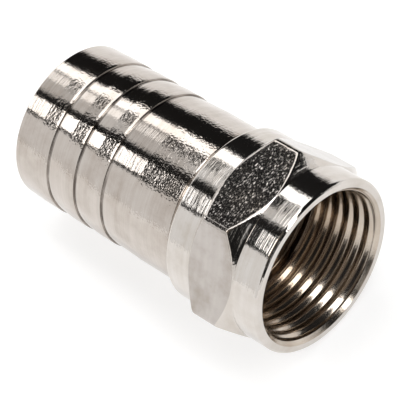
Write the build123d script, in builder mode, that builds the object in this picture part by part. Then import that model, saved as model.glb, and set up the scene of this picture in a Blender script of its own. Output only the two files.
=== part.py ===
from build123d import *
import math
import os

# Crimp-on F connector for coaxial cable, in millimetres.
# It lies along X: the mouth of the nut is the plane x = 0 and faces +X, the cable enters from -X.
# Values named "_at" are distances back from the mouth plane along the axis.

# Coupling nut, turned from hexagon bar (11.11 over the flats) around a 3/8-32 inside thread
thread_major_diameter = 9.525
thread_depth = 0.38
nut_wall = 0.7425
hex_flat_rise = 0.03
hex_corner_skim = 0.03
front_round_length = 1.915
front_cone_angle = 46.0
hex_corner_length = 1.755
rear_cone_angle = 38.0
rear_round_length = 1.865
nut_edge_chamfer = 0.15

# Inside of the nut
mouth_chamfer = 0.25
relief_depth = 0.17
relief_length = 1.20
nut_web_thickness = 1.00

# Post: flange, hub, tube and barb in one turned piece
post_bore_diameter = 4.84
post_wall = 0.38
post_hub_step = 0.40
post_flange_thickness = 0.80
post_barb_height = 0.30
post_barb_length = 0.90
post_barb_land = 0.15
post_tip_wall = 0.23
post_bore_chamfer = 0.12
post_recess = 0.83

# Crimp sleeve with sawtooth ribs
cable_space = 1.35
sleeve_wall = 0.88
sleeve_web_thickness = 2.00
sleeve_front_chamfer = 0.25
sleeve_end_chamfer = 0.12
sleeve_bore_chamfer = 0.30
rib_depth = 0.10
rib_land = 1.10
end_taper_depth = 0.06
front_land_length = 3.34
front_taper_length = 2.30
rib_pitch = 2.22
rib_pitches = 2
end_band_length = 2.75

# Clearances
thread_clearance = 0.02
flange_clearance = 0.18
swivel_radial_clearance = 0.08
swivel_axial_clearance = 0.10


# Radii of the nut
thread_r = thread_major_diameter / 2 + thread_clearance
turned_r = thread_r + nut_wall
flat_r = turned_r + hex_flat_rise
corner_r = flat_r / math.cos(math.pi / 6) - hex_corner_skim
mouth_r = thread_r + mouth_chamfer
relief_r = thread_r + relief_depth

# Stations of the nut, from the mouth back
cone_front_at = front_round_length
corner_front_at = cone_front_at + (corner_r - turned_r) * math.tan(math.radians(front_cone_angle))
corner_rear_at = corner_front_at + hex_corner_length
cone_rear_at = corner_rear_at + (corner_r - turned_r) * math.tan(math.radians(rear_cone_angle))
nut_rear_at = cone_rear_at + rear_round_length
web_front_at = nut_rear_at - nut_web_thickness
thread_end_at = web_front_at - relief_length

# Radii of the post and the sleeve
post_bore_r = post_bore_diameter / 2
tube_r = post_bore_r + post_wall
hub_r = tube_r + post_hub_step
web_hole_r = hub_r + swivel_radial_clearance
flange_r = thread_major_diameter / 2 - thread_depth - flange_clearance
barb_r = tube_r + post_barb_height
sleeve_bore_r = tube_r + cable_space
crest_r = sleeve_bore_r + sleeve_wall
root_r = crest_r - rib_depth
end_r = crest_r - end_taper_depth

# Stations of the post and the sleeve, from the front back
flange_rear_at = web_front_at - swivel_axial_clearance
flange_front_at = flange_rear_at - post_flange_thickness
sleeve_front_at = nut_rear_at + swivel_axial_clearance
sleeve_web_rear_at = sleeve_front_at + sleeve_web_thickness
front_land_rear_at = sleeve_front_at + front_land_length
first_rib_at = front_land_rear_at + front_taper_length
sleeve_end_at = first_rib_at + rib_pitches * rib_pitch + end_band_length
post_end_at = sleeve_end_at - post_recess
barb_at = post_end_at - post_barb_length


# Coupling nut: a hexagon with its corners coned off, round at both ends, webbed at the back
with BuildPart() as nut:
    with BuildSketch(Plane.YZ.offset(-cone_rear_at)):
        RegularPolygon(radius=flat_r, side_count=6, major_radius=False)
    extrude(amount=cone_rear_at - cone_front_at)
    with BuildSketch(Plane.XZ):
        with BuildLine():
            Polyline(
                (-cone_rear_at, 0),
                (-cone_rear_at, turned_r),
                (-corner_rear_at, corner_r),
                (-corner_front_at, corner_r),
                (-cone_front_at, turned_r),
                (-cone_front_at, 0),
                close=True,
            )
        make_face()
    revolve(axis=Axis.X, mode=Mode.INTERSECT)
    with BuildSketch(Plane.XZ):
        with BuildLine():
            Polyline(
                (-nut_rear_at, 0),
                (-nut_rear_at, turned_r - nut_edge_chamfer),
                (-nut_rear_at + nut_edge_chamfer, turned_r),
                (-nut_edge_chamfer, turned_r),
                (0, turned_r - nut_edge_chamfer),
                (0, 0),
                close=True,
            )
        make_face()
    revolve(axis=Axis.X)
    with BuildSketch(Plane.XZ):
        with BuildLine():
            Polyline(
                (-nut_rear_at, 0),
                (-nut_rear_at, web_hole_r),
                (-web_front_at, web_hole_r),
                (-web_front_at, relief_r),
                (-thread_end_at, relief_r),
                (-thread_end_at, thread_r),
                (-mouth_chamfer, thread_r),
                (0, mouth_r),
                (0, 0),
                close=True,
            )
        make_face()
    revolve(axis=Axis.X, mode=Mode.SUBTRACT)
nut.part.label = "coupling_nut"

# Post: the flange keeps the nut on, the hub carries the sleeve, the barb grips the cable's braid
with BuildPart() as post:
    with BuildSketch(Plane.XZ):
        with BuildLine():
            Polyline(
                (-flange_front_at, post_bore_r + post_bore_chamfer),
                (-flange_front_at, flange_r),
                (-flange_rear_at, flange_r),
                (-flange_rear_at, hub_r),
                (-sleeve_web_rear_at, hub_r),
                (-sleeve_web_rear_at, tube_r),
                (-barb_at, tube_r),
                (-barb_at, barb_r),
                (-barb_at - post_barb_land, barb_r),
                (-post_end_at, post_bore_r + post_tip_wall),
                (-post_end_at, post_bore_r),
                (-flange_front_at - post_bore_chamfer, post_bore_r),
                close=True,
            )
        make_face()
    revolve(axis=Axis.X)
post.part.label = "post"

# Crimp sleeve: each rib steps up at its front edge, runs level, then tapers back to the foot of the next
rib_edges_at = [first_rib_at + step * rib_pitch for step in range(rib_pitches + 1)]
with BuildPart() as sleeve:
    with BuildSketch(Plane.XZ):
        with BuildLine():
            outline = [
                (-sleeve_front_at, hub_r),
                (-sleeve_front_at, crest_r - sleeve_front_chamfer),
                (-sleeve_front_at - sleeve_front_chamfer, crest_r),
                (-front_land_rear_at, crest_r),
            ]
            for rib_at in rib_edges_at:
                outline.append((-rib_at, root_r))
                outline.append((-rib_at, crest_r))
                outline.append((-rib_at - rib_land, crest_r))
            outline.append((-sleeve_end_at + sleeve_end_chamfer, end_r))
            outline.append((-sleeve_end_at, end_r - sleeve_end_chamfer))
            outline.append((-sleeve_end_at, sleeve_bore_r + sleeve_bore_chamfer))
            outline.append((-sleeve_end_at + sleeve_bore_chamfer, sleeve_bore_r))
            outline.append((-sleeve_web_rear_at, sleeve_bore_r))
            outline.append((-sleeve_web_rear_at, hub_r))
            Polyline(*outline, close=True)
        make_face()
    revolve(axis=Axis.X)
sleeve.part.label = "crimp_sleeve"

os.makedirs("parts", exist_ok=True)
export_step(nut.part, "parts/coupling_nut.step")
export_step(post.part, "parts/post.step")
export_step(sleeve.part, "parts/crimp_sleeve.step")
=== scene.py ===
"""Visual model of a crimp-on coaxial connector: threaded coupling nut, hidden post and ribbed sleeve."""
import logging
import math
from dataclasses import dataclass, field
from enum import Enum
from typing import ClassVar, Optional, Sequence

import bmesh
import bpy
import numpy as np
from mathutils import Matrix, Vector


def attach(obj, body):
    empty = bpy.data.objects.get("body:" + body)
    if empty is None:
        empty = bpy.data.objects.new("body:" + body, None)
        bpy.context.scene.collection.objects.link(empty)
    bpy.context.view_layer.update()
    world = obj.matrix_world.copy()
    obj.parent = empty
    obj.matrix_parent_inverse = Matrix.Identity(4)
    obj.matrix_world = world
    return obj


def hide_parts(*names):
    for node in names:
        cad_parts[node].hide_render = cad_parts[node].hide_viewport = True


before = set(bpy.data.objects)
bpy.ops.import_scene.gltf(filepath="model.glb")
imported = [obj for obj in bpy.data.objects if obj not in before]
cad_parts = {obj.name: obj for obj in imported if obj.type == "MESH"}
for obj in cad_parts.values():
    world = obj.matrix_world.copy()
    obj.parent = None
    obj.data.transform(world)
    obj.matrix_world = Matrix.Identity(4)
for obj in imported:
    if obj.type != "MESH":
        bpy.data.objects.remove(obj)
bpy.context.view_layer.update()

LOG = logging.getLogger("connector")
MM = 0.001
MICRON = 0.000001
Colour = tuple[float, float, float]
Span = tuple[float, float]
Socket = bpy.types.NodeSocket

# Roundings of the turned edges, in millimetres
SHARP = 0.03
CRISP = 0.04
BROKEN = 0.05
EASED = 0.06
SOFT = 0.08

# Limits of a rounding: its least reach in millimetres, the most of an edge that it and its guard take,
# and the turn, in radians, below which a corner counts as straight
LEAST_REACH = 0.002
REACH_SHARE = 0.42
GUARD_SHARE = 0.06
STRAIGHT_TURN = 1e-4

# Size of the thread's ridge where it fades out, as a share of its full size
FADED_RIDGE = 0.06

# How strongly the finer clouds of a noise count
NOISE_ROUGHNESS = 0.58


class Zone(Enum):
    """Material slots of the nut, in the order that its mesh holds them."""

    TURNED = 0
    FLATS = 1
    BORE = 2


@dataclass(frozen=True)
class Corner:
    """One corner of a turned section, in millimetres.

    Attributes:
        back: Distance back from the mouth, along the axis.
        radius: Distance from the axis.
        rounding: Radius that the corner is rounded to.
    """

    back: float
    radius: float
    rounding: float


def rounded_loop(corners: Sequence[Corner], steps: int, guard: float) -> np.ndarray:
    """Rounds the corners of a closed section.

    Every corner gives the same number of points, so that sections of one kind can be skinned together.

    Args:
        corners: The section's corners in order.
        steps: Straight steps in each rounding.
        guard: Distance from each rounding to the point that keeps the shading of the next face flat.

    Returns:
        Points of the loop in millimetres, as rows of (x, radius).
    """
    raw = np.array([(-c.back, c.radius) for c in corners])
    loop: list[np.ndarray] = []
    for index, corner in enumerate(corners):
        here = raw[index]
        into, away = here - raw[index - 1], raw[(index + 1) % len(raw)] - here
        length_in, length_out = float(np.hypot(*into)), float(np.hypot(*away))
        into, away = into / length_in, away / length_out
        turn = math.atan2(into[0] * away[1] - into[1] * away[0], float(into @ away))
        reach = corner.rounding * math.tan(abs(turn) / 2)
        shorter = min(length_in, length_out)
        reach = min(max(reach, LEAST_REACH), REACH_SHARE * shorter)
        spare = min(guard, GUARD_SHARE * shorter)
        start = here - into * reach
        loop.append(start - into * spare)
        loop.append(start)
        side = np.array([-into[1], into[0]])
        for step in range(1, steps):
            share = step / steps
            angle = turn * share
            if abs(turn) < STRAIGHT_TURN:
                loop.append(start + into * (2 * reach * share))
                continue
            bend = reach / math.tan(abs(turn) / 2)
            along, across = bend * math.sin(abs(angle)), bend * (1 - math.cos(angle))
            loop.append(start + into * along + side * math.copysign(across, turn))
        loop.append(here + away * reach)
        loop.append(here + away * (reach + spare))
    return np.array(loop)


def add_object(name: str, data: bpy.types.ID) -> bpy.types.Object:
    """Adds an object to the scene.

    Args:
        name: Name of the object.
        data: Its mesh or camera.

    Returns:
        The object, at the origin.
    """
    new = bpy.data.objects.new(name, data)
    bpy.context.scene.collection.objects.link(new)
    return new


def closed_section(name: str, points: Sequence[tuple[float, float, float]]) -> bpy.types.Mesh:
    """Joins points into a closed loop of edges.

    Args:
        name: Name of the mesh.
        points: The loop's points in order, in metres.

    Returns:
        A mesh with edges only.
    """
    section = bpy.data.meshes.new(name)
    section.from_pydata(points, [(at, (at + 1) % len(points)) for at in range(len(points))], [])
    return section


def closed_mesh(mesh: bpy.types.Mesh) -> bpy.types.Mesh:
    """Points every face of a closed mesh outwards and shades it smooth.

    Args:
        mesh: A closed mesh.

    Returns:
        The same mesh.
    """
    work = bmesh.new()
    work.from_mesh(mesh)
    bmesh.ops.recalc_face_normals(work, faces=work.faces)
    for face in work.faces:
        face.smooth = True
    work.to_mesh(mesh)
    work.free()
    mesh.update()
    return mesh


class NodeBuilder:
    """Lays out the nodes of any tree."""

    def __init__(self, tree: bpy.types.NodeTree) -> None:
        """Keeps the tree."""
        self.tree = tree

    def node(self, kind: str, links: Optional[dict[str, object]] = None,
             **settings: object) -> bpy.types.Node:
        """Adds a node.

        Args:
            kind: Blender's name for the node type.
            links: Input name or number to the socket that feeds it, or to a plain value.
            **settings: Properties of the node itself.

        Returns:
            The new node.
        """
        new = self.tree.nodes.new(kind)
        for key, value in settings.items():
            setattr(new, key, value)
        for key, value in (links or {}).items():
            socket = new.inputs[int(key)] if key.isdigit() else new.inputs[key]
            if isinstance(value, Socket):
                self.tree.links.new(value, socket)
            else:
                socket.default_value = value
        return new

    def math(self, operation: str, first: object, second: object = 0.0) -> Socket:
        """Adds a math node that applies an operation to two values and returns its result."""
        return self.node("ShaderNodeMath", {"0": first, "1": second}, operation=operation).outputs[0]

    def ramp(self, value: object, low: object, high: object, to_low: object = 0.0,
             to_high: object = 1.0) -> Socket:
        """Adds a smooth step.

        Args:
            value: What is stepped.
            low: Value at which the step starts.
            high: Value at which it ends.
            to_low: Result before the step.
            to_high: Result after it.

        Returns:
            The step's socket.
        """
        ends = {"Value": value, "From Min": low, "From Max": high, "To Min": to_low, "To Max": to_high}
        return self.node("ShaderNodeMapRange", ends, interpolation_type="SMOOTHSTEP").outputs["Result"]


class TreeBuilder(NodeBuilder):
    """Lays out a Geometry Nodes tree with named inputs."""

    def __init__(self, name: str, takes_geometry: bool) -> None:
        """Starts an empty tree.

        Args:
            name: Name of the tree.
            takes_geometry: Whether the tree works on the object's own mesh.
        """
        super().__init__(bpy.data.node_groups.new(name, "GeometryNodeTree"))
        sockets = self.tree.interface
        if takes_geometry:
            sockets.new_socket("Geometry", in_out="INPUT", socket_type="NodeSocketGeometry")
        sockets.new_socket("Geometry", in_out="OUTPUT", socket_type="NodeSocketGeometry")
        self.group_in = self.tree.nodes.new("NodeGroupInput")
        self.group_out = self.tree.nodes.new("NodeGroupOutput")

    def entry(self, name: str, kind: str, default: Optional[float] = None) -> Socket:
        """Adds a named input.

        Args:
            name: Name of the input.
            kind: Blender's name for the socket type.
            default: Value that it starts from, if it is a number.

        Returns:
            The input's socket inside the tree.
        """
        socket = self.tree.interface.new_socket(name, in_out="INPUT", socket_type=kind)
        if default is not None:
            socket.default_value = default
        return self.group_in.outputs[name]

    def size(self, name: str, default: float) -> Socket:
        """Adds a named length or number and returns its socket."""
        return self.entry(name, "NodeSocketFloat", default)

    def count(self, name: str, default: int) -> Socket:
        """Adds a named whole number and returns its socket."""
        return self.entry(name, "NodeSocketInt", default)

    def material(self) -> Socket:
        """Adds the material input and returns its socket."""
        return self.entry("Material", "NodeSocketMaterial")

    def close(self, geometry: Socket, material: Socket) -> bpy.types.NodeTree:
        """Ends the tree in Realize Instances and Set Material.

        Args:
            geometry: What the tree made.
            material: The finish that it gets.

        Returns:
            The finished tree.
        """
        real = self.node("GeometryNodeRealizeInstances", {"Geometry": geometry}).outputs[0]
        dressed = self.node("GeometryNodeSetMaterial", {"Geometry": real, "Material": material})
        self.tree.links.new(dressed.outputs[0], self.group_out.inputs["Geometry"])
        return self.tree


def grow_mesh(name: str, tree: bpy.types.NodeTree, base: bpy.types.Mesh,
              inputs: dict[str, object]) -> bpy.types.Mesh:
    """Runs a Geometry Nodes tree once and keeps the result as a plain mesh.

    Args:
        name: Name of the new mesh.
        tree: The tree to run.
        base: The mesh that the tree starts from.
        inputs: Named inputs of the tree.

    Returns:
        The finished mesh, with no modifier behind it.
    """
    maker = add_object(name + "_maker", base)
    modifier = maker.modifiers.new("maker", "NODES")
    modifier.node_group = tree
    for item in tree.interface.items_tree:
        if item.item_type == "SOCKET" and item.in_out == "INPUT" and item.name in inputs:
            modifier[item.identifier] = inputs[item.name]
    bpy.context.view_layer.update()
    depsgraph = bpy.context.evaluated_depsgraph_get()
    mesh = bpy.data.meshes.new_from_object(maker.evaluated_get(depsgraph))
    mesh.name = name
    bpy.data.objects.remove(maker)
    return mesh


def lathe_tree() -> bpy.types.NodeTree:
    """Builds the tree that turns a closed section about the connector's axis.

    Returns:
        A tree whose own mesh is the section: its x is the distance outside the path, and its y the distance
        back from the mouth.
    """
    build = TreeBuilder("lathe", takes_geometry=True)
    segments, around = build.count("Segments", 192), build.size("Path Radius", MM)
    material = build.material()
    section = build.node("GeometryNodeMeshToCurve", {"Mesh": build.group_in.outputs["Geometry"]})
    path = build.node("GeometryNodeCurvePrimitiveCircle", {"Resolution": segments, "Radius": around},
                      mode="RADIUS")
    upright = build.node("GeometryNodeSetCurveNormal", {"Curve": path.outputs["Curve"]}, mode="Z_UP")
    skin = build.node("GeometryNodeCurveToMesh",
                      {"Curve": upright.outputs[0], "Profile Curve": section.outputs[0],
                       "Fill Caps": False})
    laid = build.node("GeometryNodeTransform",
                      {"Geometry": skin.outputs[0], "Rotation": (0.0, math.pi / 2, 0.0)})
    return build.close(laid.outputs[0], material)


def thread_tree() -> bpy.types.NodeTree:
    """Builds the tree that winds a thread's ridge round the inside of a bore.

    Returns:
        A tree whose own mesh is the ridge's section: its x is the distance outside the wall, and its y the
        distance along the axis. The ridge fades in and out over the runout, a share of its length.
    """
    build = TreeBuilder("thread", takes_geometry=True)
    turns, pitch = build.size("Turns", 5.0), build.size("Pitch", 0.8 * MM)
    wall, start = build.size("Wall Radius", 4.8 * MM), build.size("Start", 0.4 * MM)
    runout, steps = build.size("Runout", 0.08), build.count("Steps Per Turn", 128)
    material = build.material()
    length = build.math("MULTIPLY", turns, pitch)
    section = build.node("GeometryNodeMeshToCurve", {"Mesh": build.group_in.outputs["Geometry"]})
    spiral = build.node("GeometryNodeCurveSpiral",
                        {"Resolution": steps, "Rotations": turns, "Start Radius": wall, "End Radius": wall,
                         "Height": length, "Reverse": True})
    upright = build.node("GeometryNodeSetCurveNormal", {"Curve": spiral.outputs[0]}, mode="Z_UP")
    place = build.node("GeometryNodeSplineParameter")
    back_end = build.math("SUBTRACT", 1.0, place.outputs["Factor"])
    nearest = build.math("MINIMUM", place.outputs["Factor"], back_end)
    fade = build.ramp(nearest, 0.0, runout, FADED_RIDGE, 1.0)
    skin = build.node("GeometryNodeCurveToMesh",
                      {"Curve": upright.outputs[0], "Profile Curve": section.outputs[0],
                       "Scale": fade, "Fill Caps": True})
    first = build.node("ShaderNodeCombineXYZ",
                       {"X": build.math("MULTIPLY", build.math("ADD", start, length), -1.0)})
    laid = build.node("GeometryNodeTransform",
                      {"Geometry": skin.outputs[0], "Rotation": (0.0, math.pi / 2, 0.0),
                       "Translation": first.outputs[0]})
    return build.close(laid.outputs[0], material)


class ShaderBuilder(NodeBuilder):
    """Lays out the nodes of a material or the world."""

    def __init__(self, tree: bpy.types.NodeTree) -> None:
        """Clears the tree and keeps it."""
        super().__init__(tree)
        tree.nodes.clear()

    def window(self, value: object, low: float, high: float, edge: float) -> Socket:
        """Adds a soft-edged window that is 1 between two values and 0 outside them.

        Args:
            value: What the window looks at.
            low: Middle of its lower edge.
            high: Middle of its upper edge.
            edge: Half the width of an edge.

        Returns:
            The window's socket.
        """
        rise = self.ramp(value, low - edge, low + edge)
        fall = self.ramp(value, high - edge, high + edge, 1.0, 0.0)
        return self.math("MULTIPLY", rise, fall)

    def noise(self, place: Socket, scale: float, detail: float) -> Socket:
        """Adds a cloudy noise at a place and returns its value."""
        cloud = {"Vector": place, "Scale": scale, "Detail": detail, "Roughness": NOISE_ROUGHNESS}
        return self.node("ShaderNodeTexNoise", cloud).outputs[0]

    def mix(self, share: object, first: object, second: object) -> Socket:
        """Adds a mix of two colours.

        Args:
            share: Share of the second colour, from 0 to 1.
            first: A colour or a socket.
            second: A colour or a socket.

        Returns:
            The mixed colour's socket.
        """
        blend = self.node("ShaderNodeMix", {"0": share}, data_type="RGBA")
        for index, value in ((6, first), (7, second)):
            if isinstance(value, Socket):
                self.tree.links.new(value, blend.inputs[index])
            else:
                blend.inputs[index].default_value = (*value, 1.0)
        return blend.outputs[2]


@dataclass(frozen=True)
class NickelFinish:
    """Bright nickel plate over brass, with the marks that its making left.

    The methods named local_ tell how the plate changes along the axis, and where painted shade darkens it.
    They take the distance back from the mouth in millimetres, and give a number or a socket.

    Attributes:
        name: Name of the material.
        tint: Colour of the clean plate.
        stain: Colour of the plate where it is thin or tarnished, and of the painted shade deep in a bore.
        stain_share: How much of the surface the stain covers, from 0 to 1.
        roughness: Roughness of the clean plate.
        roughness_spread: How far the roughness varies.
        rings_per_mm: Turning marks in a millimetre.
        ring_depth: Depth of the turning marks, in micrometres.
        ring_tone: How far the plate's colour varies from one turning mark to the next.
        strip_tone: How far it varies from one broad strip to the next.
        grain_per_mm: Grains in a millimetre.
        grain_depth: Depth of the grain, in micrometres.
        grime_and_shade: Colour of the painted shade and grime in corners.
        grime_and_shade_share: How much of the plate the painted shade and grime hide, from 0 to 1, where
            they are faint and where they are strong.
    """

    # Clouds in a millimetre, of the stain's patches, the grime and painted shade, and, counted in turning
    # marks, the strips
    PATCH_SCALE: ClassVar[float] = 0.55
    GRIME_AND_SHADE_SCALE: ClassVar[float] = 0.4
    STRIP_SCALE: ClassVar[float] = 0.22
    # Parts of each noise over which its effect grows from none to full
    PATCH_SPAN: ClassVar[Span] = (0.35, 0.8)
    GRIME_AND_SHADE_SPAN: ClassVar[Span] = (0.38, 0.62)
    STRIP_SPAN: ClassVar[Span] = (0.35, 0.65)
    RING_SPAN: ClassVar[Span] = (0.3, 0.7)
    ROUGH_SPAN: ClassVar[Span] = (0.25, 0.75)
    # Share of a mark's place that comes from the radius, so that faces across the axis have marks too
    RING_LEAN: ClassVar[float] = 0.35

    name: str
    tint: Colour = (0.65, 0.615, 0.583)
    stain: Colour = (0.42, 0.36, 0.29)
    stain_share: float = 0.40
    roughness: float = 0.08
    roughness_spread: float = 0.04
    rings_per_mm: float = 7.5
    ring_depth: float = 17.0
    ring_tone: float = 0.10
    strip_tone: float = 0.12
    grain_per_mm: float = 6.0
    grain_depth: float = 4.0
    grime_and_shade: Colour = (0.075, 0.058, 0.046)
    grime_and_shade_share: Span = (0.25, 0.8)

    def local_grain(self, build: ShaderBuilder, back: Socket) -> object:
        """Gives how deep the grain is at a place, where 1 is the finish's own depth."""
        return 1.0

    def local_rings(self, build: ShaderBuilder, back: Socket) -> object:
        """Gives how deep the turning marks are there, where 1 is the finish's own depth."""
        return 1.0

    def local_stain_and_shade(self, build: ShaderBuilder, back: Socket) -> object:
        """Gives how stained and darkened by painted shade the plate is there beyond the finish's patches,
        from 0 to 1.
        """
        return 0.0

    def local_grime_and_shade(self, build: ShaderBuilder, back: Socket) -> object:
        """Gives how much grime and painted shade lies there, from 0 to 1."""
        return 0.0

    def build(self) -> bpy.types.Material:
        """Builds the material.

        Returns:
            A material that reads Object coordinates only.
        """
        material = bpy.data.materials.new(self.name)
        material.use_nodes = True
        build = ShaderBuilder(material.node_tree)
        object_place = build.node("ShaderNodeTexCoord").outputs["Object"]
        place = build.node("ShaderNodeVectorMath", {"0": object_place, "Scale": 1 / MM},
                           operation="SCALE").outputs[0]
        axes = build.node("ShaderNodeSeparateXYZ", {"0": place}).outputs
        back = build.math("MULTIPLY", axes["X"], -1.0)
        ring_place = self.ring_place(build, axes)
        rings = build.noise(ring_place, 1.0, detail=3.0)
        strips = build.noise(ring_place, self.STRIP_SCALE, detail=2.0)
        patches = build.noise(place, self.PATCH_SCALE, detail=4.0)
        grain = build.noise(place, self.grain_per_mm, detail=1.0)
        grime_and_shade_clouds = build.noise(place, self.GRIME_AND_SHADE_SCALE, detail=2.0)

        ring_depth = build.math("MULTIPLY", self.local_rings(build, back), self.ring_depth)
        grain_depth = build.math("MULTIPLY", self.local_grain(build, back), self.grain_depth)
        height = build.math("ADD", build.math("MULTIPLY", rings, ring_depth),
                            build.math("MULTIPLY", grain, grain_depth))
        relief = build.node("ShaderNodeBump", {"Strength": 1.0, "Distance": MICRON, "Height": height})

        stain_and_shade_share: object = 0.0
        for cloud, span, share in ((patches, self.PATCH_SPAN, self.stain_share),
                                   (rings, self.RING_SPAN, self.ring_tone),
                                   (strips, self.STRIP_SPAN, self.strip_tone)):
            stain_and_shade_share = build.math("ADD", stain_and_shade_share, build.math("MULTIPLY", build.ramp(cloud, *span), share))
        # Painted shade: the local stain darkens the plate with depth in the bore, along with its browner
        # thin plate
        stain_and_shade_share = build.math("MAXIMUM", stain_and_shade_share, self.local_stain_and_shade(build, back))
        # Painted shade and grime in corners, mixed in their own dark colour
        grime_and_shade_strength = build.ramp(grime_and_shade_clouds, *self.GRIME_AND_SHADE_SPAN, *self.grime_and_shade_share)
        grime_and_shade_mask = build.math("MULTIPLY", self.local_grime_and_shade(build, back), grime_and_shade_strength)
        colour = build.mix(grime_and_shade_mask, build.mix(stain_and_shade_share, self.tint, self.stain), self.grime_and_shade)

        rough = build.node("ShaderNodeMapRange",
                           {"Value": patches, "From Min": self.ROUGH_SPAN[0], "From Max": self.ROUGH_SPAN[1],
                            "To Min": self.roughness - self.roughness_spread / 2,
                            "To Max": self.roughness + self.roughness_spread / 2}).outputs["Result"]
        plate = build.node("ShaderNodeBsdfPrincipled",
                           {"Base Color": colour, "Metallic": 1.0, "Roughness": rough,
                            "Normal": relief.outputs[0]})
        build.node("ShaderNodeOutputMaterial", {"Surface": plate.outputs[0]})
        return material

    def ring_place(self, build: ShaderBuilder, axes: bpy.types.bpy_prop_collection) -> Socket:
        """Gives the place that the turning marks are read from, the same all round the axis but for a drift.

        Args:
            build: The material's nodes.
            axes: The place's three parts, in millimetres.

        Returns:
            A vector, in turning marks along the axis.
        """
        across = build.node("ShaderNodeCombineXYZ", {"Y": axes["Y"], "Z": axes["Z"]}).outputs[0]
        radius = build.node("ShaderNodeVectorMath", {"0": across}, operation="LENGTH").outputs["Value"]
        spin = build.math("ARCTAN2", axes["Y"], axes["Z"])
        along = build.math("ADD", axes["X"], build.math("MULTIPLY", radius, self.RING_LEAN))
        return build.node("ShaderNodeCombineXYZ",
                          {"X": build.math("MULTIPLY", along, self.rings_per_mm),
                           "Y": build.math("COSINE", spin), "Z": build.math("SINE", spin)}).outputs[0]


@dataclass(frozen=True)
class RibbedFinish(NickelFinish):
    """Plate of the sleeve: grainy on its level lands, and darkened at the foot of each rib by painted shade
    and grime.

    Attributes:
        ribs: Places of the ribs' steps, in millimetres back from the mouth.
        land: Length of a rib's land, in millimetres.
        front_land: Place where the level front band ends.
        land_grain: How much deeper the grain is on the lands.
        land_rings: How deep the turning marks are on the lands, where 1 is as deep as elsewhere.
        grime_and_shade_width: Width of the painted shade and grime at a rib's foot, in millimetres.
        grime_and_shade_past: How far the painted shade and grime go on past the step.
    """

    # Half widths of the soft edges, in millimetres
    FRONT_EDGE: ClassVar[float] = 0.1
    LAND_EDGE: ClassVar[float] = 0.08
    GRIME_AND_SHADE_EDGE: ClassVar[float] = 0.03

    ribs: tuple[float, ...] = ()
    land: float = 1.1
    front_land: float = 10.5
    land_grain: float = 3.0
    land_rings: float = 0.5
    grime_and_shade_width: float = 0.18
    grime_and_shade_past: float = 0.01

    def level_land(self, build: ShaderBuilder, back: Socket) -> Socket:
        """Tells the level lands from the tapers.

        Args:
            build: The material's nodes.
            back: Distance back from the mouth, in millimetres.

        Returns:
            A mask that is 1 on the lands and 0 on the tapers.
        """
        level = build.ramp(back, self.front_land - self.FRONT_EDGE, self.front_land + self.FRONT_EDGE,
                           1.0, 0.0)
        for rib in self.ribs:
            land = build.window(back, rib, rib + self.land, self.LAND_EDGE)
            level = build.math("MAXIMUM", level, land)
        return level

    def local_grain(self, build: ShaderBuilder, back: Socket) -> object:
        """Deepens the grain on the lands; see NickelFinish."""
        level = self.level_land(build, back)
        return build.math("ADD", 1.0, build.math("MULTIPLY", level, self.land_grain - 1.0))

    def local_rings(self, build: ShaderBuilder, back: Socket) -> object:
        """Softens the turning marks on the lands; see NickelFinish."""
        level = self.level_land(build, back)
        return build.math("SUBTRACT", 1.0, build.math("MULTIPLY", level, 1.0 - self.land_rings))

    def local_grime_and_shade(self, build: ShaderBuilder, back: Socket) -> object:
        """Lays painted shade and grime at the ribs' feet.

        Args:
            build: The material's nodes.
            back: Distance back from the mouth, in millimetres.

        Returns:
            A mask that is 1 in the painted shade and grime.
        """
        feet: object = 0.0
        for rib in self.ribs:
            foot = build.window(back, rib - self.grime_and_shade_width, rib + self.grime_and_shade_past, self.GRIME_AND_SHADE_EDGE)
            feet = build.math("MAXIMUM", feet, foot)
        return feet


@dataclass(frozen=True)
class NutFinish(NickelFinish):
    """Plate of the nut's round ends, smoother where the cutter stopped short of the hexagon.

    Attributes:
        smooth_from: Where the smooth strip starts, in millimetres back from the mouth.
        smooth_to: Where it ends.
        smooth_rings: How deep the turning marks are there, where 1 is as deep as elsewhere.
        smooth_edge: Half the width of the strip's soft edges.
    """

    smooth_from: float = 1.25
    smooth_to: float = 2.1
    smooth_rings: float = 0.2
    smooth_edge: float = 0.12

    def local_rings(self, build: ShaderBuilder, back: Socket) -> object:
        """Softens the turning marks in the smooth strip; see NickelFinish."""
        strip = build.window(back, self.smooth_from, self.smooth_to, self.smooth_edge)
        return build.math("SUBTRACT", 1.0, build.math("MULTIPLY", strip, 1.0 - self.smooth_rings))


@dataclass(frozen=True)
class BoreFinish(NickelFinish):
    """Plate inside the nut, thinner and browner the deeper it lies, and darkened there by painted shade.

    Attributes:
        depth_shade_start: Depth to which the plate is clean and unshaded, in millimetres.
        depth_shade_full: Depth from which the brass shows through and the painted shade is full.
        depth_stain_and_shade: How stained and darkened by painted shade the plate is there.
        lip: Depth at which the mouth's chamfer meets the thread, where painted shade darkens the gap.
        lip_shade_width: Width of the painted shade there.
        lip_shade_edge: Half the width of the painted shade's soft edges.
    """

    depth_shade_start: float = 0.3
    depth_shade_full: float = 4.2
    depth_stain_and_shade: float = 0.75
    lip: float = 0.24
    lip_shade_width: float = 0.08
    lip_shade_edge: float = 0.02

    def local_stain_and_shade(self, build: ShaderBuilder, back: Socket) -> object:
        """Stains and darkens the plate with depth, partly thin plate showing brass and partly painted shade;
        see NickelFinish.
        """
        return build.ramp(back, self.depth_shade_start, self.depth_shade_full, 0.0, self.depth_stain_and_shade)

    def local_grime_and_shade(self, build: ShaderBuilder, back: Socket) -> object:
        """Lays painted shade in the gap behind the mouth's chamfer; see NickelFinish."""
        return build.window(back, self.lip, self.lip + self.lip_shade_width, self.lip_shade_edge)


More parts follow.
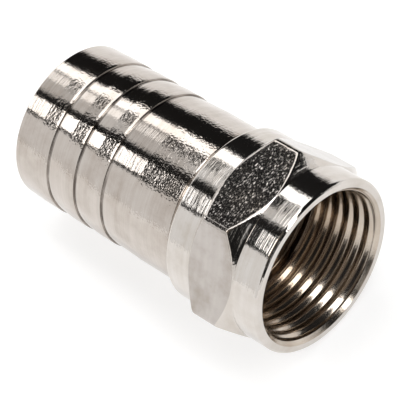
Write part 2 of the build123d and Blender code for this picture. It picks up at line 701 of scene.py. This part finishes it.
class Piece:
    """What every sub-assembly does with a finished mesh."""

    @staticmethod
    def place(name: str, mesh: bpy.types.Mesh, body: str, slot: str,
              replaced: Optional[str] = None) -> bpy.types.Object:
        """Puts a mesh into the scene as a piece of the connector.

        Args:
            name: Name of the piece.
            mesh: Its mesh, already in place.
            body: The moving body that carries it.
            slot: Name of a material slot; not used.
            replaced: The solid that it stands for, if any.

        Returns:
            The new object, at the origin.
        """
        piece = add_object(name, mesh)
        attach(piece, body)
        if replaced:
            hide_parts(replaced)
        LOG.info("%s rides on %s with %d faces", name, body, len(mesh.polygons))
        return piece


@dataclass
class TurnedPiece(Piece):
    """A piece that is turned from one section."""

    segments: int = 224
    steps: int = 5
    guard: float = 0.03

    def turn(self, name: str, corners: Sequence[Corner], finish: NickelFinish) -> bpy.types.Mesh:
        """Turns a closed section about the axis.

        Args:
            name: Name of the mesh.
            corners: The section's corners in order.
            finish: What the surface is dressed in.

        Returns:
            The turned mesh.
        """
        loop = rounded_loop(corners, self.steps, self.guard) * MM
        around = float(loop[:, 1].min()) / 2
        section = closed_section(name + "_section", [(radius - around, -x, 0.0) for x, radius in loop])
        sizes = {"Segments": self.segments, "Path Radius": around, "Material": finish.build()}
        return closed_mesh(grow_mesh(name, lathe_tree(), section, sizes))


@dataclass
class CrimpSleeve(TurnedPiece):
    """The ribbed barrel behind the nut. Lengths are in millimetres, back from the mouth."""

    front: float = 7.1963
    front_chamfer: float = 0.25
    web_rear: float = 9.1963
    front_land_rear: float = 10.5363
    ribs: tuple[float, ...] = (12.8363, 15.0563, 17.2763)
    end: float = 20.0263
    crest: float = 5.03
    root: float = 4.93
    rear: float = 4.97
    land: float = 1.10
    ease_length: float = 0.16
    ease_height: float = 0.022
    bore: float = 4.15
    hub: float = 3.20
    end_chamfer: float = 0.12
    inner_chamfer: float = 0.30
    front_rounding: float = 0.12
    front_land_rounding: float = 1.5
    ease_rounding: float = 0.4
    taper_rounding: float = 0.9

    @property
    def finish(self) -> RibbedFinish:
        """The sleeve's plate, with its ribs where the section has them."""
        return RibbedFinish("sleeve_nickel", tint=(0.575, 0.529, 0.488), stain=(0.30, 0.24, 0.19),
                            ring_depth=10.0, ribs=self.ribs, land=self.land,
                            front_land=self.front_land_rear)

    def section(self) -> list[Corner]:
        """Lays out the sleeve's section.

        Returns:
            The section's corners, from its front over the ribs round to its bore.
        """
        corners = [Corner(self.front, self.hub, SHARP),
                   Corner(self.front, self.crest - self.front_chamfer, BROKEN),
                   Corner(self.front + self.front_chamfer, self.crest, self.front_rounding),
                   Corner(self.front_land_rear, self.crest, self.front_land_rounding)]
        for rib in self.ribs:
            corners += [Corner(rib, self.root, SHARP),
                        Corner(rib, self.crest - self.ease_height, SHARP),
                        Corner(rib + self.ease_length, self.crest, self.ease_rounding),
                        Corner(rib + self.land, self.crest, self.taper_rounding)]
        corners += [Corner(self.end - self.end_chamfer, self.rear, SOFT),
                    Corner(self.end, self.rear - self.end_chamfer, EASED),
                    Corner(self.end, self.bore + self.inner_chamfer, EASED),
                    Corner(self.end - self.inner_chamfer, self.bore, EASED),
                    Corner(self.web_rear, self.bore, SOFT),
                    Corner(self.web_rear, self.hub, SHARP)]
        return corners

    def build(self) -> None:
        """Turns the sleeve and puts it on the post's body."""
        mesh = self.turn("crimp_sleeve_shell", self.section(), self.finish)
        self.place("crimp_sleeve_shell", mesh, "post_and_sleeve", "sleeve_plating", "crimp_sleeve")


@dataclass
class Post(TurnedPiece):
    """The flanged tube inside. Lengths are in millimetres, back from the mouth."""

    flange_front: float = 5.1963
    flange_rear: float = 5.9963
    flange: float = 4.2025
    hub: float = 3.20
    hub_rear: float = 9.1963
    tube: float = 2.80
    barb_front: float = 18.2963
    barb_rear: float = 18.4463
    barb: float = 3.10
    end: float = 19.1963
    tip: float = 2.65
    bore: float = 2.42
    bore_chamfer: float = 0.12
    finish: NickelFinish = field(default_factory=lambda: NickelFinish(
        "post_nickel", tint=(0.60, 0.555, 0.505), stain_share=0.3, roughness=0.2))

    def section(self) -> list[Corner]:
        """Lays out the post's section.

        Returns:
            The section's corners, from its flange over the tube round to its bore.
        """
        return [Corner(self.flange_front, self.bore + self.bore_chamfer, SHARP),
                Corner(self.flange_front, self.flange, SOFT),
                Corner(self.flange_rear, self.flange, EASED),
                Corner(self.flange_rear, self.hub, CRISP),
                Corner(self.hub_rear, self.hub, CRISP),
                Corner(self.hub_rear, self.tube, SOFT),
                Corner(self.barb_front, self.tube, SHARP),
                Corner(self.barb_front, self.barb, SHARP),
                Corner(self.barb_rear, self.barb, BROKEN),
                Corner(self.end, self.tip, BROKEN),
                Corner(self.end, self.bore, SHARP),
                Corner(self.flange_front + self.bore_chamfer, self.bore, SHARP)]

    def build(self) -> None:
        """Turns the post and puts it on its body."""
        mesh = self.turn("post_tube", self.section(), self.finish)
        self.place("post_tube", mesh, "post_and_sleeve", "post_plating", "post")


@dataclass
class CouplingNut(Piece):
    """The hexagon nut with its inside thread. Lengths are in millimetres, back from the mouth.

    The thread runs on into the solid's tap relief, as deep as its lines can be followed from outside.
    """

    # Angles from a flat's middle at which the nut is cut into sections, in degrees: even ones over the
    # flat, and close ones beside the corner
    EVEN_ANGLES: ClassVar[tuple[float, ...]] = tuple(3.0 * step for step in range(-9, 10))
    CLOSE_ANGLES: ClassVar[tuple[float, ...]] = (28.0, 28.6, 28.9, 29.15, 29.4, 29.7)
    # Places in the section's list of corners where the flat starts and ends, and where the bore starts
    FLAT_FRONT: ClassVar[int] = 4
    FLAT_REAR: ClassVar[int] = 5
    BORE_START: ClassVar[int] = 11
    # Strips at the start of the rounded section that still belong to the bore
    MOUTH_STRIPS: ClassVar[int] = 2

    turned: float = 5.525
    flat: float = 5.555
    corner: float = 6.345
    corner_ease: float = 0.05
    mouth: float = 5.0325
    mouth_chamfer: float = 0.25
    edge_chamfer: float = 0.15
    wall: float = 4.7825
    relief: float = 4.9525
    cone_front: float = 1.915
    cone_rear: float = 5.2313
    front_slope: float = math.tan(math.radians(46))
    rear_slope: float = math.tan(math.radians(38))
    thread_end: float = 5.62
    web_front: float = 6.0963
    rear: float = 7.0963
    web_hole: float = 3.28
    pitch: float = 25.4 / 32
    end_rounding: float = 0.2
    flat_rounding: float = 0.24
    thread_depth: float = 0.21
    thread_steps: int = 25
    thread_turn_steps: int = 144
    thread_start: float = 0.30
    thread_stop: float = 0.12
    thread_runout: float = 0.05
    thread_width: float = 0.98
    thread_sink: float = 0.006
    thread_root: float = 0.05
    steps: int = 5
    guard: float = 0.03
    turned_finish: NickelFinish = field(default_factory=lambda: NutFinish(
        "nut_turned_nickel", rings_per_mm=5.5, ring_depth=18.0))
    flat_finish: NickelFinish = field(default_factory=lambda: NickelFinish(
        "nut_flat_nickel", tint=(0.505, 0.469, 0.443), stain=(0.33, 0.29, 0.25), stain_share=0.8,
        ring_depth=0.0, ring_tone=0.0, grain_depth=14.0, grain_per_mm=4.0))
    bore_finish: NickelFinish = field(default_factory=lambda: BoreFinish(
        "nut_bore_nickel", tint=(0.56, 0.50, 0.435), stain=(0.34, 0.25, 0.17), stain_share=0.3,
        roughness=0.16, ring_depth=3.0, grain_depth=3.0))

    def angles(self) -> np.ndarray:
        """Lists the angles at which the nut is cut into sections.

        Returns:
            Angles round the axis in radians, from one corner of the hexagon round to the next.
        """
        before = [-angle for angle in reversed(self.CLOSE_ANGLES)]
        side = [-30.0, *before, *self.EVEN_ANGLES, *self.CLOSE_ANGLES]
        return np.radians([60 * flat + angle for flat in range(6) for angle in side])

    def hexagon(self, angle: float) -> float:
        """Gives the hexagon's radius at an angle.

        Args:
            angle: Angle round the axis from the upper flat's middle, in radians.

        Returns:
            The radius in millimetres, with the corner's edge skimmed round.
        """
        off = (angle + math.pi / 6) % (math.pi / 3) - math.pi / 6
        side = self.flat / math.cos(off)
        gap = max(self.corner_ease - abs(side - self.corner), 0.0)
        return min(side, self.corner) - gap * gap / (4 * self.corner_ease)

    def section(self, angle: float) -> list[Corner]:
        """Gives the nut's section at an angle.

        Args:
            angle: Angle round the axis, in radians.

        Returns:
            The section's corners, from the mouth's inner edge over the outside to the thread's wall.
        """
        hexagon = self.hexagon(angle)
        rise = hexagon - self.turned
        return [Corner(0.0, self.mouth, BROKEN),
                Corner(0.0, self.turned - self.edge_chamfer, SOFT),
                Corner(self.edge_chamfer, self.turned, self.end_rounding),
                Corner(self.cone_front, self.turned, EASED),
                Corner(self.cone_front + rise * self.front_slope, hexagon, self.flat_rounding),
                Corner(self.cone_rear - rise * self.rear_slope, hexagon, self.flat_rounding),
                Corner(self.cone_rear, self.turned, EASED),
                Corner(self.rear - self.edge_chamfer, self.turned, self.end_rounding),
                Corner(self.rear, self.turned - self.edge_chamfer, SOFT),
                Corner(self.rear, self.web_hole, CRISP),
                Corner(self.web_front, self.web_hole, CRISP),
                Corner(self.web_front, self.relief, SOFT),
                Corner(self.thread_end, self.relief, CRISP),
                Corner(self.thread_end, self.wall, CRISP),
                Corner(self.mouth_chamfer, self.wall, BROKEN)]

    def zone(self, step: int) -> Zone:
        """Gives the zone that a strip of the nut's surface belongs to.

        Args:
            step: Number of the strip, counted along the rounded section.

        Returns:
            The zone.
        """
        # rounded_loop gives every corner this many points
        per_corner = self.steps + 3
        middle = per_corner // 2
        if self.FLAT_FRONT * per_corner + middle <= step < self.FLAT_REAR * per_corner + middle:
            return Zone.FLATS
        if step >= self.BORE_START * per_corner or step < self.MOUTH_STRIPS:
            return Zone.BORE
        return Zone.TURNED

    def shell(self) -> bpy.types.Mesh:
        """Skins the nut's sections into one closed mesh.

        Returns:
            The mesh, with a material slot for each zone.
        """
        angles = self.angles()
        loops = [rounded_loop(self.section(a), self.steps, self.guard) * MM for a in angles]
        ring = len(loops[0])
        points = [(x, r * math.sin(a), r * math.cos(a)) for a, loop in zip(angles, loops) for x, r in loop]
        faces, zones = [], []
        for row in range(len(angles)):
            here, ahead = row * ring, (row + 1) % len(angles) * ring
            for step in range(ring):
                after = (step + 1) % ring
                faces.append((here + step, here + after, ahead + after, ahead + step))
                zones.append(self.zone(step).value)
        mesh = bpy.data.meshes.new("coupling_nut_shell")
        mesh.from_pydata(points, [], faces)
        for finish in (self.turned_finish, self.flat_finish, self.bore_finish):
            mesh.materials.append(finish.build())
        mesh.polygons.foreach_set("material_index", zones)
        return closed_mesh(mesh)

    def ridge(self) -> bpy.types.Mesh:
        """Winds the thread's ridge inside the wall.

        Returns:
            The ridge as one closed mesh.
        """
        edge = self.thread_width * self.pitch / 2
        reach = np.linspace(-edge, edge, self.thread_steps)
        wave = 0.5 + 0.5 * np.cos(2 * math.pi * reach / self.pitch)
        height = self.thread_depth * wave - self.thread_sink
        points = [(-up * MM, along * MM, 0.0) for along, up in zip(reach, height)]
        points += [(self.thread_root * MM, edge * MM, 0.0), (self.thread_root * MM, -edge * MM, 0.0)]
        length = self.thread_end - self.thread_stop - self.thread_start
        sizes = {"Turns": length / self.pitch, "Pitch": self.pitch * MM, "Wall Radius": self.wall * MM,
                 "Start": self.thread_start * MM, "Runout": self.thread_runout,
                 "Steps Per Turn": self.thread_turn_steps, "Material": self.bore_finish.build()}
        section = closed_section("ridge_section", points)
        return closed_mesh(grow_mesh("coupling_nut_thread", thread_tree(), section, sizes))

    def build(self) -> None:
        """Builds the nut and its thread and puts both on the turning body."""
        self.place("coupling_nut_shell", self.shell(), "nut", "nut_plating", "coupling_nut")
        self.place("coupling_nut_thread", self.ridge(), "nut", "nut_plating")


@dataclass(frozen=True)
class Panel:
    """A bright panel in the studio's dark ceiling, as the connector sees it.

    Attributes:
        start: Angle round the connector's axis where it starts, in degrees from straight up towards -Y.
        end: Angle where it ends.
        rear: Where it starts along the axis, as the cosine of the angle to +X.
        front: Where it ends along the axis.
        level: How bright it is, where 1 is white.
        edge: Softness of its long edges, in degrees.
        lean: How far it leans round the axis from its rear to its front, in degrees.
    """

    # Softness of the ends, and the place along the axis that a panel leans about
    END_EDGE: ClassVar[float] = 0.04
    LEAN_FROM: ClassVar[float] = -0.54

    start: float
    end: float
    rear: float
    front: float
    level: float
    edge: float = 1.5
    lean: float = 0.0

    def shine(self, build: ShaderBuilder, angle: Socket, along: Socket) -> Socket:
        """Gives how bright the panel is in a direction.

        Args:
            build: The world's nodes.
            angle: The direction's angle round the axis, in degrees.
            along: Its place along the axis.

        Returns:
            The brightness, 0 outside the panel.
        """
        turned = build.math("MULTIPLY", build.math("SUBTRACT", along, self.LEAN_FROM), self.lean)
        wide = build.window(build.math("SUBTRACT", angle, turned), self.start, self.end, self.edge)
        long = build.window(along, self.rear, self.front, self.END_EDGE)
        return build.math("MULTIPLY", build.math("MULTIPLY", wide, long), self.level)


@dataclass
class Studio:
    """Floor, light and camera.

    Directions are given as a Panel gives them: an angle round the connector's axis in degrees, and a
    place along it as a cosine. Lengths are in millimetres, or in metres where the name ends in _m.
    """

    floor_level: float = 0.64
    floor_colour: Colour = (0.5, 0.5, 0.5)
    wall_level: float = 1.0
    ceiling_level: float = 0.014
    ceiling: Span = (-83.0, 44.0)
    ceiling_edge: float = 3.0
    front_drop: float = 36.0
    front_drop_along: Span = (0.15, 0.55)
    front_drop_angles: Span = (0.0, 30.0)
    front_lift: float = 20.0
    front_lift_along: Span = (0.5, 0.75)
    front_lift_angles: Span = (-30.0, 0.0)
    horizon: Span = (0.08, 0.02)
    horizon_edge: float = 0.03
    panels: tuple[Panel, ...] = (
        Panel(-45.0, -29.0, -1.2, 0.0, 2.4, 2.0, 12.0),
        Panel(-28.0, -12.0, -1.2, -0.60, 1.8, 3.5),
        Panel(-14.0, 7.0, -1.2, -0.60, 0.9, 3.5),
        Panel(-11.0, 4.0, -0.62, -0.44, 0.8, 3.5),
        Panel(-28.0, 4.0, -0.465, -0.05, 2.4, 3.5),
        Panel(-23.0, -2.0, 0.0, 0.92, 4.6, 1.5),
        Panel(18.0, 39.5, -1.2, -0.61, 3.2, 1.0),
        Panel(18.0, 39.5, -0.455, -0.08, 3.2, 1.0),
        Panel(20.0, 80.0, 0.87, 1.2, 0.8, 4.0))
    fill: Span = (8.0, 82.0)
    fill_edge: float = 5.0
    fill_along: Span = (-0.25, 0.62)
    fill_along_edge: float = 0.06
    fill_level: float = 0.12
    fill_tint: Colour = (1.0, 0.88, 0.77)
    azimuth: float = 60.927
    elevation: float = 51.887
    roll: float = -24.010
    distance: float = 163.69
    focal: float = 2894.0
    mouth_pixel: Span = (322.6, 267.8)
    image: float = 400.0
    sensor: float = 36.0
    clip_m: Span = (0.005, 10.0)
    front_rest: Span = (-5.2079, -5.555)
    rear_rest: Span = (-19.9063, -4.97)
    floor_half_m: float = 0.45

    def light(self) -> None:
        """Builds the world: a pale room whose dark ceiling holds bright panels."""
        world = bpy.data.worlds.new("studio")
        bpy.context.scene.world = world
        world.use_nodes = True
        build = ShaderBuilder(world.node_tree)
        way = build.node("ShaderNodeTexCoord").outputs["Generated"]
        axes = build.node("ShaderNodeSeparateXYZ", {"0": way}).outputs
        along = axes["X"]
        aside = build.math("MULTIPLY", axes["Y"], -1.0)
        angle = build.math("DEGREES", build.math("ARCTAN2", aside, axes["Z"]))
        dark = self.dark(build, angle, along)
        level = build.ramp(dark, 0.0, 1.0, self.wall_level, self.ceiling_level)
        for panel in self.panels:
            level = build.math("MAXIMUM", level, panel.shine(build, angle, along))
        horizon = build.ramp(along, *self.front_lift_along, *self.horizon)
        high = build.ramp(build.math("SUBTRACT", axes["Z"], horizon), -self.horizon_edge, self.horizon_edge)
        low = build.math("SUBTRACT", 1.0, high)
        level = build.math("ADD", build.math("MULTIPLY", high, level),
                           build.math("MULTIPLY", low, self.wall_level))
        warm = build.math("MULTIPLY", build.window(angle, *self.fill, self.fill_edge),
                          build.window(along, *self.fill_along, self.fill_along_edge))
        warm = build.math("MULTIPLY", warm, dark)
        level = build.math("ADD", level, build.math("MULTIPLY", warm, self.fill_level))
        colour = build.mix(warm, (1.0, 1.0, 1.0), self.fill_tint)
        shown = build.node("ShaderNodeBackground", {"Color": colour, "Strength": level})
        build.node("ShaderNodeOutputWorld", {"Surface": shown.outputs[0]})

    def dark(self, build: ShaderBuilder, angle: Socket, along: Socket) -> Socket:
        """Gives where the ceiling is dark; it reaches lower in front of the mouth.

        Args:
            build: The world's nodes.
            angle: Angle round the axis, in degrees.
            along: Place along the axis.

        Returns:
            A mask that is 1 in the dark.
        """
        drop = build.math("MULTIPLY", build.ramp(along, *self.front_drop_along, 0.0, self.front_drop),
                          build.ramp(angle, *self.front_drop_angles))
        lift = build.math("MULTIPLY", build.ramp(along, *self.front_lift_along, 0.0, self.front_lift),
                          build.ramp(angle, *self.front_lift_angles, 1.0, 0.0))
        above = build.math("SUBTRACT", build.math("SUBTRACT", angle, drop), lift)
        return build.window(above, *self.ceiling, self.ceiling_edge)

    def floor(self) -> None:
        """Lays the pale floor under the two places that the connector rests on."""
        rise, run = self.rear_rest[1] - self.front_rest[1], self.front_rest[0] - self.rear_rest[0]
        slope = math.atan2(rise, run)
        half = self.floor_half_m
        mesh = bpy.data.meshes.new("floor")
        middle = Vector((self.front_rest[0] * MM, 0.0, self.front_rest[1] * MM))
        along = Vector((math.cos(slope), 0.0, -math.sin(slope)))
        corners = [middle + along * (half * u) + Vector((0.0, half * v, 0.0))
                   for u, v in ((-1, -1), (1, -1), (1, 1), (-1, 1))]
        mesh.from_pydata(corners, [], [(0, 1, 2, 3)])
        material = bpy.data.materials.new("pale_floor")
        material.use_nodes = True
        build = ShaderBuilder(material.node_tree)
        matte = build.node("ShaderNodeBsdfDiffuse", {"Color": (*self.floor_colour, 1.0)})
        path = build.node("ShaderNodeLightPath").outputs
        seen = build.math("MAXIMUM", path["Is Camera Ray"],
                          build.math("MAXIMUM", path["Is Glossy Ray"], path["Is Transmission Ray"]))
        glow = build.node("ShaderNodeEmission", {"Strength": build.math("MULTIPLY", seen, self.floor_level)})
        both = build.node("ShaderNodeAddShader", {"0": matte.outputs[0], "1": glow.outputs[0]})
        build.node("ShaderNodeOutputMaterial", {"Surface": both.outputs[0]})
        mesh.materials.append(material)
        floor = add_object("floor", mesh)

    def camera(self) -> None:
        """Stands the camera so that the mouth's middle falls on its pixel."""
        az, el, roll = (math.radians(v) for v in (self.azimuth, self.elevation, self.roll))
        back = Vector((math.sin(az) * math.cos(el), -math.cos(az) * math.cos(el), math.sin(el)))
        level = Vector((math.cos(az), math.sin(az), 0.0))
        over = back.cross(level)
        right = level * math.cos(roll) + over * math.sin(roll)
        up = over * math.cos(roll) - level * math.sin(roll)
        middle = self.image / 2
        aside = (self.mouth_pixel[0] - middle) / self.focal * self.distance
        above = (middle - self.mouth_pixel[1]) / self.focal * self.distance
        eye = (back * self.distance - right * aside - up * above) * MM
        lens = bpy.data.cameras.new("camera")
        lens.sensor_width = self.sensor
        lens.lens = self.focal / self.image * self.sensor
        lens.clip_start, lens.clip_end = self.clip_m
        stand = add_object("camera", lens)
        stand.matrix_world = Matrix(((right.x, up.x, back.x, eye.x), (right.y, up.y, back.y, eye.y),
                                     (right.z, up.z, back.z, eye.z), (0.0, 0.0, 0.0, 1.0)))
        bpy.context.scene.camera = stand

    def build(self) -> None:
        """Sets the studio up."""
        bpy.context.scene.view_settings.view_transform = "Standard"
        self.light()
        self.floor()
        self.camera()


def main() -> None:
    """Builds the connector and its studio in order."""
    logging.basicConfig(level=logging.INFO, format="%(name)s: %(message)s")
    CouplingNut().build()
    Post().build()
    CrimpSleeve().build()
    Studio().build()


if __name__ == "__main__":
    main()
